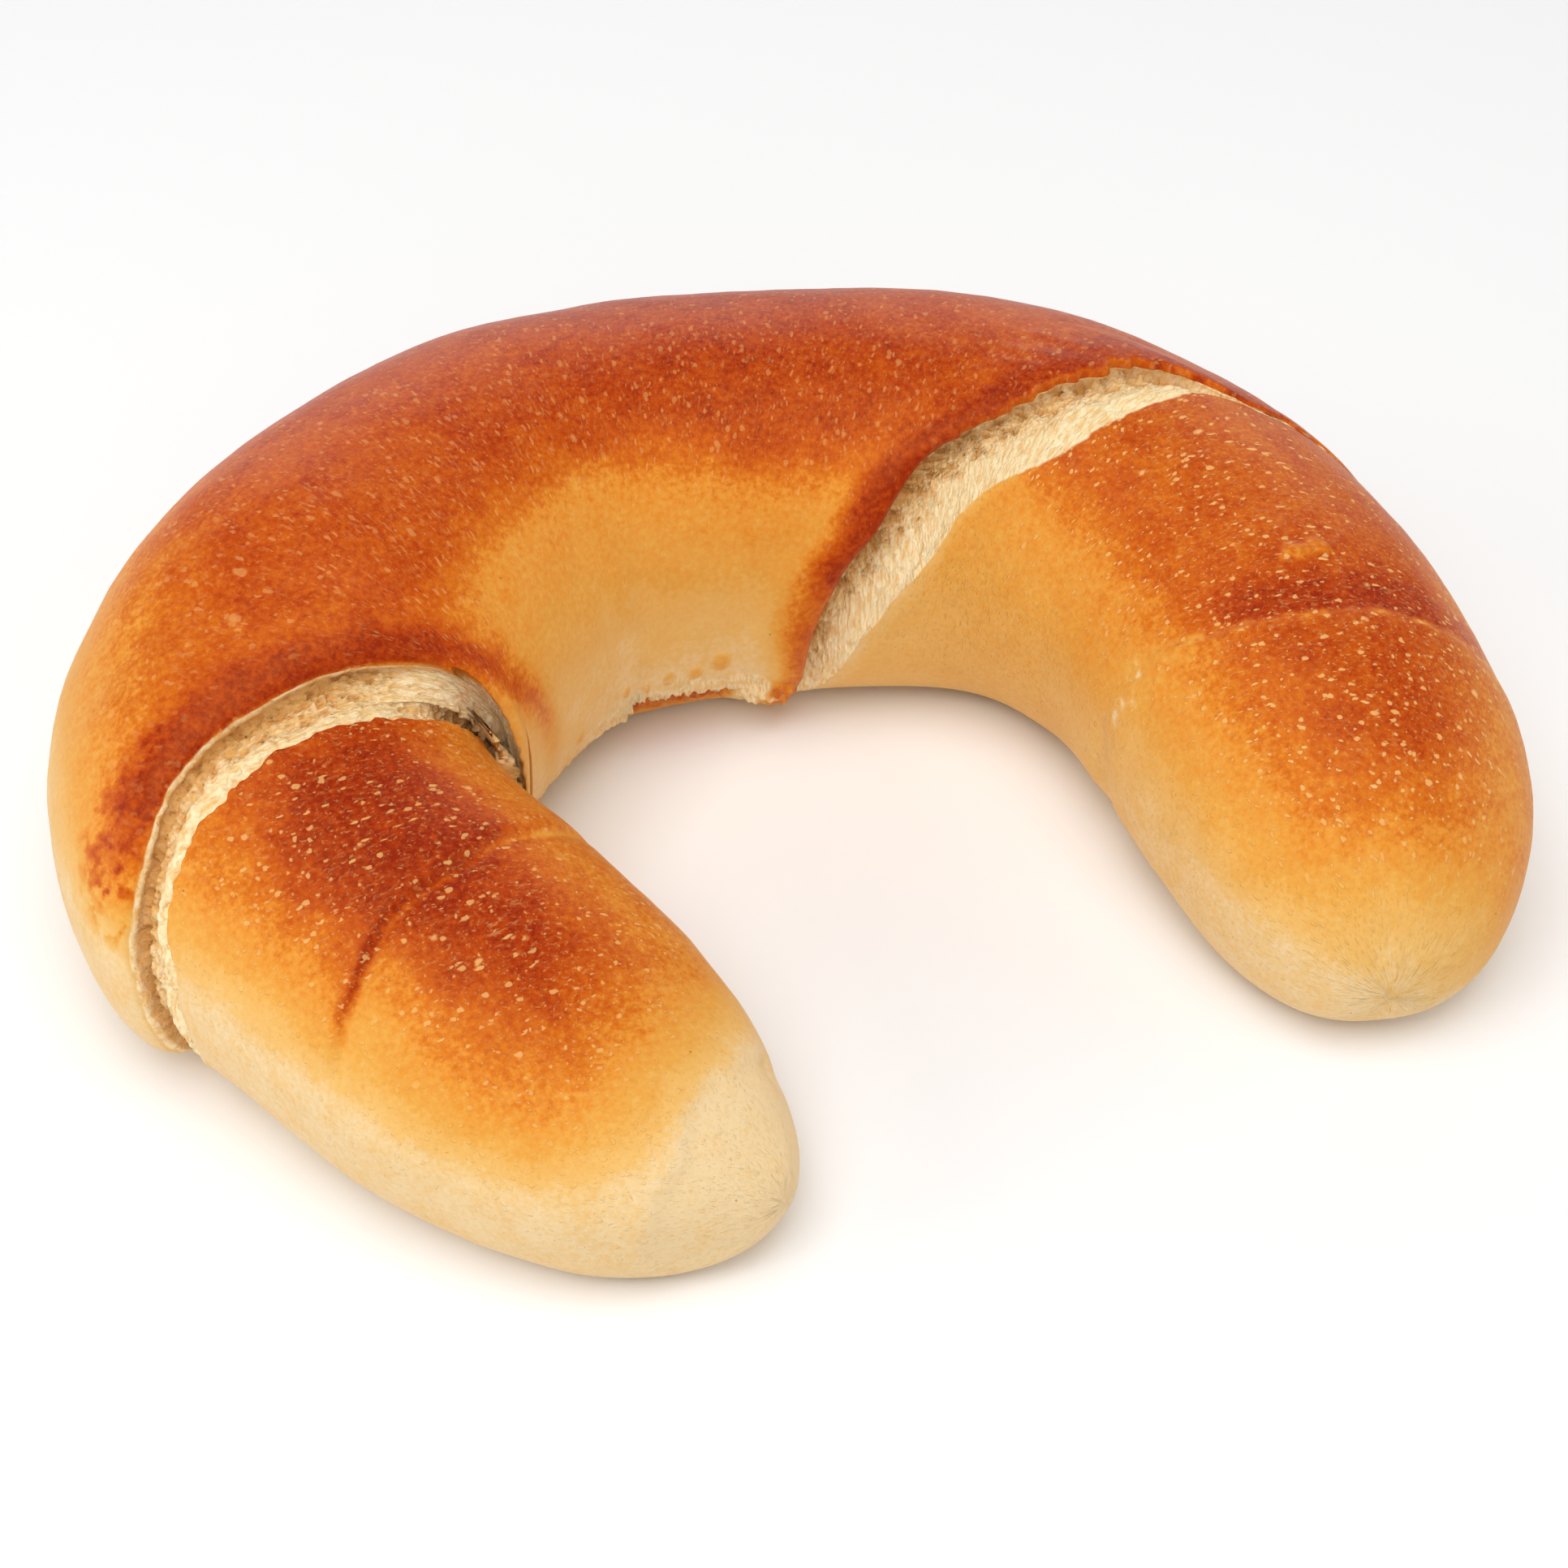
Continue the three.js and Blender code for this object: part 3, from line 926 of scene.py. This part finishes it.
# Painted shade: the colour of the dark dots that stand in for pin holes.
PIN_HOLE_SHADE_COLOUR = srgb(96, 44, 14)
STRAND_COLOURS = (srgb(240, 196, 128), srgb(255, 236, 192))
# Painted shade: the crumb's colour deep in hollows and pores and under the left lip.
HOLLOW_SHADE_COLOUR = srgb(214, 156, 80)
# Painted shade in the gaps between the crumb's strands.
GAP_SHADE_COLOUR = srgb(164, 104, 48)
DASH_TURN = 0.25  # radians between the dashes and the section
FINE_GRAIN = 1500.0  # how many to the metre
MIDDLE_GRAIN = 330.0
PIN_HOLES = 210.0
BUMP_HEIGHT = 0.00012  # metres


def bread_material():
    """Crust and crumb in one material, told apart by the values stored on the skin."""
    n = Nodes("baked_bread")
    position = n.add("ShaderNodeNewGeometry").outputs["Position"]
    wound = n.vector("skin_place")
    brown = n.value("browning_shade_and_sheen")
    crumb = n.remap(n.value("crumb"), 0.35, 0.65)
    fine = n.noise(position, FINE_GRAIN, 4.0, 0.6)
    middle = n.noise(position, MIDDLE_GRAIN, 3.0, 0.6)
    bend = n.noise(wound, 1.1, 2.0, 0.5)
    bent = n.add("ShaderNodeVectorMath", {0: wound, 1: n.scaled(bend, 0.8)}, operation="ADD").outputs[0]
    blisters = blister_pattern(n, wound, bent)
    strands = n.noise(n.stretch(bent, (2.8, 0.5, 1.0)), 1.0, 3.0, 0.6)

    crust = crust_colour(n, position, brown, fine, middle, blisters)
    n.put(n.shader.inputs["Base Color"], n.blend(crumb, crust, crumb_colour(n, bent, strands)))

    gloss = n.remap(brown, 0.1, 0.8, 0.52, 0.4)
    dull = n.maths("MAXIMUM", crumb, n.value("underside"))
    n.put(n.shader.inputs["Roughness"], n.maths("ADD", gloss, n.maths("MULTIPLY", dull, 0.35)))
    n.shader.inputs["Specular IOR Level"].default_value = 0.4
    n.shader.inputs["Specular Tint"].default_value = (1.0, 0.5, 0.15, 1)

    skin_height = n.maths("MULTIPLY_ADD", fine, 0.35, n.maths("MULTIPLY", blisters, 0.5))
    skin_height = n.maths("MULTIPLY_ADD", middle, 0.5, skin_height)
    raised_strands = n.maths("MULTIPLY", n.maths("SUBTRACT", strands, 0.5), crumb)
    height = n.maths("MULTIPLY_ADD", raised_strands, 3.0, skin_height)
    bump = n.add("ShaderNodeBump", {"Height": height, "Strength": 1.0, "Distance": BUMP_HEIGHT})
    n.put(n.shader.inputs["Normal"], bump.outputs["Normal"])
    return n.material


def blister_pattern(n, wound, bent):
    """Pale dots, dashes and grains of the skin, and faint wisps in patches between them."""
    on_skin = n.stretch(bent, (1.0, 0.7, 0.0))
    small = n.dots(on_skin, 1.15, 0.08, 0.34)
    large = n.dots(on_skin, 0.42, -0.06, 0.18)
    turned = n.turned(bent, DASH_TURN)
    dashes = n.dots(n.stretch(turned, (1.3, 0.5, 0.0)), 1.0, -0.04, 0.26)
    wisp_noise = n.noise(n.stretch(turned, (2.1, 0.6, 0.0)), 1.0, 4.0, 0.65)
    wisp_patches = n.remap(n.noise(wound, 0.16, 3.0, 0.6), 0.42, 0.62, 0.25, 1.0)
    wisps = n.maths("MULTIPLY", n.remap(wisp_noise, 0.53, 0.7, 0.0, 0.4), wisp_patches)
    grains = n.remap(n.noise(on_skin, 2.6, 3.0, 0.6), 0.56, 0.7, 0.0, 0.55)
    blisters = n.maths("MAXIMUM", n.maths("MAXIMUM", n.maths("MULTIPLY", small, 0.85), large), dashes)
    blisters = n.maths("MAXIMUM", blisters, grains)
    speckled = n.value("speckled")
    wisps = n.maths("MULTIPLY", wisps, n.maths("MINIMUM", n.maths("MULTIPLY", speckled, 2.2), 1.0))
    return n.maths("MAXIMUM", n.maths("MULTIPLY", blisters, speckled), wisps)


def crust_colour(n, position, brown, fine, middle, blisters):
    """The baked colour with its mottling and pale blisters, painted shade of pin holes as dark dots, and the
    base's own brown.
    """
    mottling = n.maths("MULTIPLY", n.maths("SUBTRACT", fine, 0.5), 0.65)
    mottling = n.maths("MULTIPLY_ADD", n.maths("SUBTRACT", middle, 0.5), 0.26, mottling)
    baked = n.remap(brown, 0.05, 0.5, 0.2, 1.0)
    crust = n.ramp(n.maths("MULTIPLY_ADD", mottling, baked, brown), CRUST_COLOURS)
    shown = n.maths("MULTIPLY", blisters, n.remap(brown, 0.03, 0.55, 0.04, 0.7))
    crust = n.blend(shown, crust, BLISTER_COLOUR)
    spots = n.add("ShaderNodeTexVoronoi", {"Vector": position, "Scale": PIN_HOLES}).outputs["Distance"]
    # Painted shade: dark dots stand in for the shade inside pin holes.
    pin_hole_shade = n.remap(spots, 0.035, 0.02)
    crust = n.blend(n.maths("MULTIPLY", pin_hole_shade, 0.5), crust, PIN_HOLE_SHADE_COLOUR)
    return n.blend(n.value("underside"), crust, n.ramp(middle, BASE_COLOURS))


def crumb_colour(n, bent, strands):
    """Cream strands, with painted shade that browns hollows, pores and the crumb under the left lip, and
    darkens gaps between strands.
    """
    colour = n.blend(n.remap(strands, 0.32, 0.62), *STRAND_COLOURS)
    # Painted shade: the crumb turns towards the shade colour where it lies deep, in pores and under the left
    # lip.
    hollow = n.remap(n.value("depth"), 0.1, 0.85, 0.0, 0.85)
    colour = n.blend(hollow, colour, HOLLOW_SHADE_COLOUR)
    # Painted shade: dark gaps between strands, deepest in the hollows.
    gaps = n.remap(n.noise(n.stretch(bent, (2.4, 1.0, 1.0)), 1.0, 4.0, 0.7), 0.5, 0.66, 0.0, 0.75)
    gap_shade_share = n.maths("MULTIPLY", gaps, n.maths("ADD", hollow, 0.12))
    return n.blend(gap_shade_share, colour, GAP_SHADE_COLOUR)


# ---------------------------------------- stage, camera and lights

WIDTH = (BOX_HIGH - BOX_LOW).x
MIDDLE = (BOX_HIGH + BOX_LOW) / 2

# Distances and sizes here are in widths of the roll, and angles in degrees.
CAMERA_FIELD = 30
CAMERA_AZIMUTH = -22
CAMERA_ELEVATION = 43
CAMERA_DISTANCE = 2.028
CAMERA_TARGET = (-0.0136, -0.0835, 0.116)  # from the middle of the base
FLOOR_SIZE = 40
FLOOR_FADE = (1.7, 3.7)  # distances between which the floor turns from lit to glowing
FLOOR_GLOW = 0.92  # share of white, for the lit part's colour as well
ROOM_LIGHT = 0.12  # brightness of the white room as a light, and as it is seen
ROOM_SEEN = 0.95
LIGHTS = [  # name, azimuth, elevation, distance, size and power
    ("overhead", -40, 72, 4.5, (4.5, 4.5), 4.7),
    ("back", 160, 22, 5.0, (7.0, 2.5), 2.0),
    ("front", -10, 30, 5.5, (5.0, 2.5), 1.5),
    ("left", -100, 20, 5.0, (4.0, 3.0), 2.0),
    ("right", 70, 20, 5.0, (4.0, 3.0), 1.25),
]


def make_floor():
    """A plain pale floor that stays pale beyond the reach of the lights."""
    bpy.ops.mesh.primitive_plane_add(size=FLOOR_SIZE * WIDTH, location=(MIDDLE.x, MIDDLE.y, BOX_LOW.z))
    floor = bpy.context.object
    floor.name = "floor"
    n = Nodes("pale_floor")
    n.shader.inputs["Roughness"].default_value = 0.9
    n.shader.inputs["Specular IOR Level"].default_value = 0.1
    position = n.add("ShaderNodeNewGeometry").outputs["Position"]
    distance = n.add("ShaderNodeVectorMath", {0: position}, operation="LENGTH").outputs["Value"]
    far = n.remap(distance, FLOOR_FADE[0] * WIDTH, FLOOR_FADE[1] * WIDTH)
    n.put(n.shader.inputs["Base Color"], n.blend(far, (*[FLOOR_GLOW] * 3, 1), (0, 0, 0, 1)))
    n.shader.inputs["Emission Color"].default_value = (1, 1, 1, 1)
    n.put(n.shader.inputs["Emission Strength"], n.maths("MULTIPLY", far, FLOOR_GLOW))
    floor.data.materials.append(n.material)


def around(target, azimuth, elevation, distance):
    """A point at that distance from the target, where azimuth 0 is towards -Y and turns towards +X."""
    turn, rise = math.radians(azimuth), math.radians(elevation)
    return target + distance * Vector((
        math.sin(turn) * math.cos(rise), -math.cos(turn) * math.cos(rise), math.sin(rise)))


def aim(thing, target):
    """Turn a camera or light towards the target."""
    thing.rotation_euler = (Vector(target) - thing.location).to_track_quat("-Z", "Y").to_euler()


def make_camera():
    """The camera, high in front of the crescent's opening."""
    base = (MIDDLE.x, MIDDLE.y, BOX_LOW.z)
    target = Vector([start + share * WIDTH for start, share in zip(base, CAMERA_TARGET)])
    data = bpy.data.cameras.new("camera")
    data.angle = math.radians(CAMERA_FIELD)
    data.clip_start = 0.01 * WIDTH
    camera = bpy.data.objects.new("camera", data)
    bpy.context.scene.collection.objects.link(camera)
    camera.location = around(target, CAMERA_AZIMUTH, CAMERA_ELEVATION, CAMERA_DISTANCE * WIDTH)
    aim(camera, target)
    bpy.context.scene.camera = camera


def soft_light(name, azimuth, elevation, distance, size, power):
    """A rectangular softbox that faces the roll."""
    data = bpy.data.lights.new(name, "AREA")
    data.shape = "RECTANGLE"
    data.size, data.size_y = (side * WIDTH for side in size)
    data.energy = power
    light = bpy.data.objects.new(name, data)
    bpy.context.scene.collection.objects.link(light)
    light.location = around(MIDDLE, azimuth, elevation, distance * WIDTH)
    aim(light, MIDDLE)


def make_lights():
    """The softboxes, and a white room that lights the roll less than it shows."""
    for light in LIGHTS:
        soft_light(*light)
    world = bpy.data.worlds.new("studio")
    bpy.context.scene.world = world
    world.use_nodes = True
    tree = world.node_tree
    background = tree.nodes["Background"]
    background.inputs["Color"].default_value = (1, 1, 1, 1)
    path = tree.nodes.new("ShaderNodeLightPath")
    strength = tree.nodes.new("ShaderNodeMapRange")
    strength.inputs["To Min"].default_value = ROOM_LIGHT
    strength.inputs["To Max"].default_value = ROOM_SEEN
    tree.links.new(path.outputs["Is Camera Ray"], strength.inputs["Value"])
    tree.links.new(strength.outputs["Result"], background.inputs["Strength"])


bpy.context.scene.view_settings.view_transform = "Standard"
make_camera()
roll = make_roll(bread_material())
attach(roll, "root")
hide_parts(NODE)
make_floor()
make_lights()
